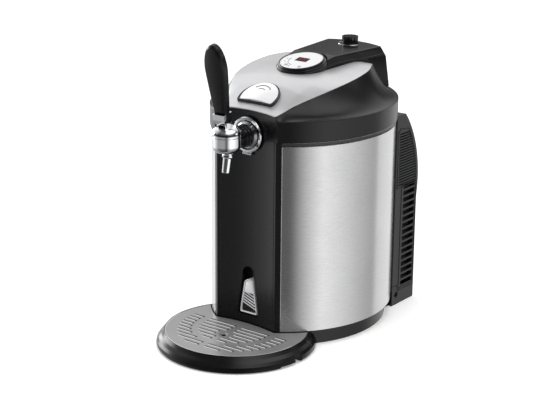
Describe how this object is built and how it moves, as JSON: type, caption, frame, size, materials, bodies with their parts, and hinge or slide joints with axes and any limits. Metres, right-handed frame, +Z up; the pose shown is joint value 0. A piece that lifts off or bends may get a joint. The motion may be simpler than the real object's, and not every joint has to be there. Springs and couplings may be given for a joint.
{
  "type": "mini keg beer dispenser",
  "caption": "Counter-top cooled dispenser for a small party keg: hinged lid with display and pressure knob, front lever tap, brushed steel body and a slotted drip tray.",
  "frame": {"origin": "on the table surface, under the centre of the steel body's plan", "axes": "+Z up, -Y towards the front with the tap and the tray, +X to the viewer's right"},
  "size_m": [0.2748, 0.466, 0.4717],
  "materials": {
    "black_plastic": "satin moulded plastic",
    "panel_plastic": "satin moulded plastic",
    "rubber": "matt",
    "brushed_steel": "fine level brushing",
    "grey_plastic": "fine matt moulding",
    "foam": "rigid foam",
    "aluminium": "satin",
    "black_anodised": "black anodised, matt",
    "ceramic": "matt",
    "circuit_board": "satin",
    "plain_steel": "bright zinc plated",
    "chrome": "polished",
    "handle_plastic": "satin moulded plastic",
    "hose": "clear silicone",
    "silver_plastic": "satin silver lacquer",
    "tray_steel": "brushed",
    "liner_plastic": "satin",
    "gloss_black": "gloss",
    "display_red": "smoked red window",
    "brass": "turned",
    "tray_plastic": "satin moulded plastic"
  },
  "bodies": {
    "housing": {"base_foot": "black_plastic", "rubber_feet": "rubber", "steel_side_left": "brushed_steel", "steel_side_right": "brushed_steel", "body_shell": "black_plastic", "front_panel": "panel_plastic", "corner_trims": "black_plastic", "seam_trim": "grey_plastic", "insulation": "foam", "cooling_well": "aluminium", "cold_plate": "aluminium", "cooler_module": "ceramic", "heat_sink": "black_anodised", "fan_frame": "black_plastic", "rear_housing": "grey_plastic", "power_inlet": "black_plastic", "control_board": "circuit_board", "hinge_pin": "plain_steel", "latch_keepers": "plain_steel", "slider_cup": "black_plastic", "tap_shank": "chrome", "shank_nut": "plain_steel", "rosette": "chrome", "neck_rings": "gloss_black", "tap_body": "chrome", "tap_spout": "chrome", "lever_pin": "plain_steel", "beer_hose": "hose", "keg_coupler": "black_plastic", "housing_screws": "plain_steel"},
    "lid": {"lid_rim": "black_plastic", "lid_cover": "black_plastic", "lid_plate": "silver_plastic", "lid_liner": "liner_plastic", "lid_seal": "rubber", "lid_screws": "plain_steel", "ridge_housing": "panel_plastic", "display_bezel": "gloss_black", "display_face": "silver_plastic", "display_window": "display_red", "display_board": "circuit_board", "button_frame": "gloss_black", "pressure_regulator": "brass"},
    "release_button": {"release_button": "chrome"},
    "latch_hooks": {"latch_hooks": "plain_steel"},
    "pressure_knob": {"pressure_knob": "gloss_black"},
    "cool_button": {"cool_button": "silver_plastic"},
    "unit_button": {"unit_button": "silver_plastic"},
    "tap_lever": {"tap_lever": "chrome", "tap_handle": "handle_plastic"},
    "valve_stem": {"valve_stem": "plain_steel"},
    "lock_ring": {"lock_ring": "chrome"},
    "tray_slider": {"tray_slider": "chrome"},
    "drip_tray": {"tray_pan": "tray_plastic", "tray_pads": "rubber"},
    "tray_plate": {"tray_plate": "tray_steel"},
    "fan_rotor": {"fan_rotor": "grey_plastic"}
  },
  "joints": [
    {"name": "lid_hinge", "type": "hinge", "parent": "housing", "child": "lid", "pos_m": [0, 0.156, 0.318], "axis": [-1, 0, 0], "range_deg": [0, 80]},
    {"name": "button_press", "type": "slide", "parent": "lid", "child": "release_button", "axis": [0, 0.4617, -0.887], "range_m": [0, 0.003], "stiffness_N_per_m": 600, "springref_m": -0.002},
    {"name": "latch_turn", "type": "hinge", "parent": "lid", "child": "latch_hooks", "pos_m": [0, -0.118, 0.345], "axis": [-1, 0, 0], "range_deg": [0, 12]},
    {"name": "knob_turn", "type": "hinge", "parent": "lid", "child": "pressure_knob", "pos_m": [0, 0.121, 0.42], "axis": [0, 0, 1], "range_deg": [0, 270]},
    {"name": "cool_press", "type": "slide", "parent": "lid", "child": "cool_button", "axis": [0, 0.2079, -0.9781], "range_m": [0, 0.0006], "stiffness_N_per_m": 300, "springref_m": -0.001},
    {"name": "unit_press", "type": "slide", "parent": "lid", "child": "unit_button", "axis": [0, 0.2079, -0.9781], "range_m": [0, 0.0006], "stiffness_N_per_m": 300, "springref_m": -0.001},
    {"name": "lever_tilt", "type": "hinge", "parent": "housing", "child": "tap_lever", "pos_m": [0, -0.195, 0.334], "axis": [-1, 0, 0], "range_deg": [0, 22]},
    {"name": "stem_lift", "type": "slide", "parent": "housing", "child": "valve_stem", "axis": [0, 0, -1], "range_m": [0, 0.003]},
    {"name": "ring_turn", "type": "hinge", "parent": "housing", "child": "lock_ring", "pos_m": [0, -0.144, 0.3235], "axis": [0, -1, 0], "range_deg": [0, 40]},
    {"name": "slider_lift", "type": "slide", "parent": "housing", "child": "tray_slider", "axis": [0, 0, 1], "range_m": [0, 0.018]},
    {"name": "tray_pull", "type": "slide", "parent": "housing", "child": "drip_tray", "axis": [0, -1, 0], "range_m": [0, 0.11]},
    {"name": "plate_lift", "type": "slide", "parent": "drip_tray", "child": "tray_plate", "axis": [0, 0, 1], "range_m": [0, 0.06]},
    {"name": "fan_spin", "type": "hinge", "parent": "housing", "child": "fan_rotor", "pos_m": [0, 0.133, 0.242], "axis": [0, 1, 0], "continuous": true}
  ],
  "couplings": [
    {"joint": "latch_turn", "follows": "button_press", "rad_per_m": 66.667},
    {"joint": "stem_lift", "follows": "lever_tilt", "m_per_rad": 0.0078}
  ]
}
